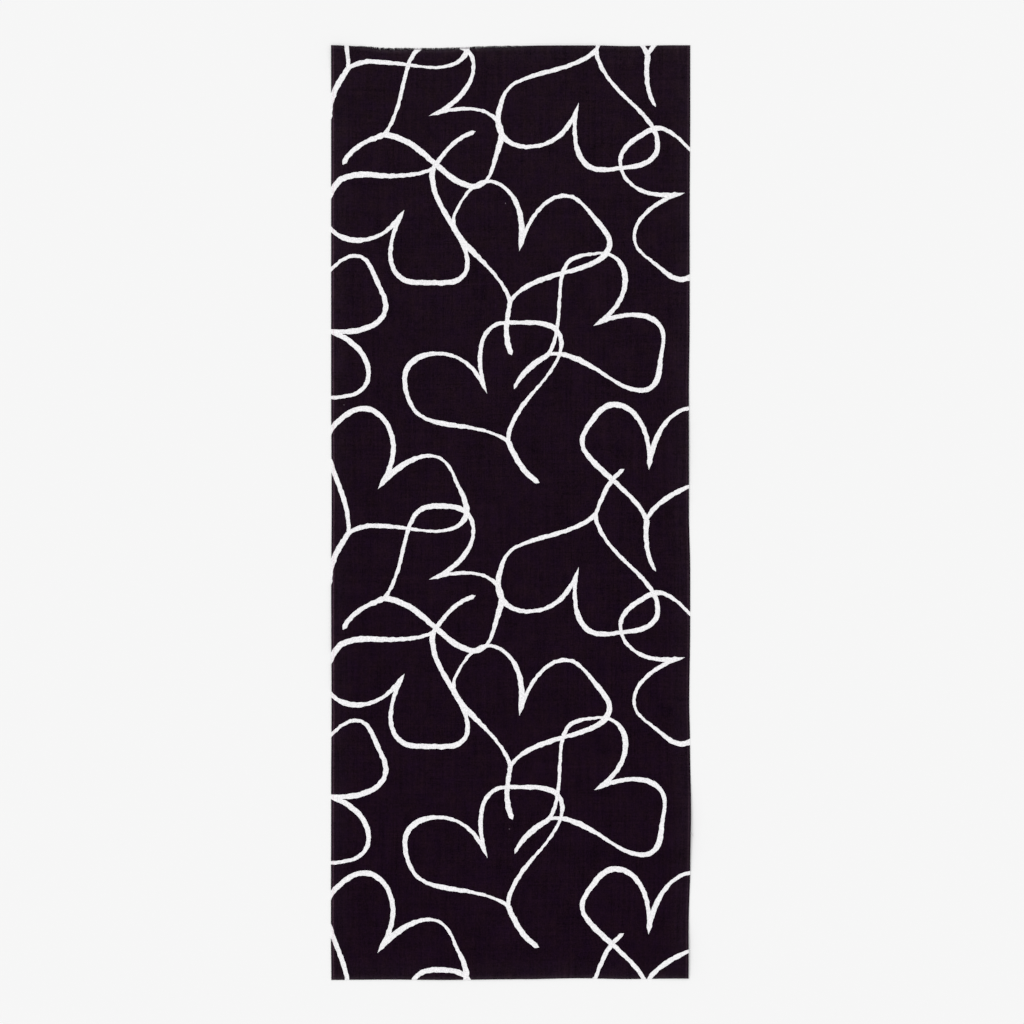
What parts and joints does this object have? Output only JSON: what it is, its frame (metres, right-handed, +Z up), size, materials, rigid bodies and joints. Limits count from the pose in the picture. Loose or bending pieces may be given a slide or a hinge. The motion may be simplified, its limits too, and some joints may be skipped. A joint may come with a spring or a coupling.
{
  "type": "tenugui towel",
  "caption": "Flat narrow cotton hand towel with woven selvedges, raw cut ends and a bold leaf-outline print.",
  "frame": {"origin": "under the middle of the cloth, on the surface that it lies on", "axes": "+Z up out of the printed face, +Y along the cloth to its far cut end, +X to its right selvedge"},
  "size_m": [0.3474, 0.9018, 0.0033],
  "materials": {
    "dyed_cotton": "matte plain-weave cotton, near-black purple dye with white line print"
  },
  "bodies": {
    "root": {"cloth": "dyed_cotton"}
  },
  "joints": []
}
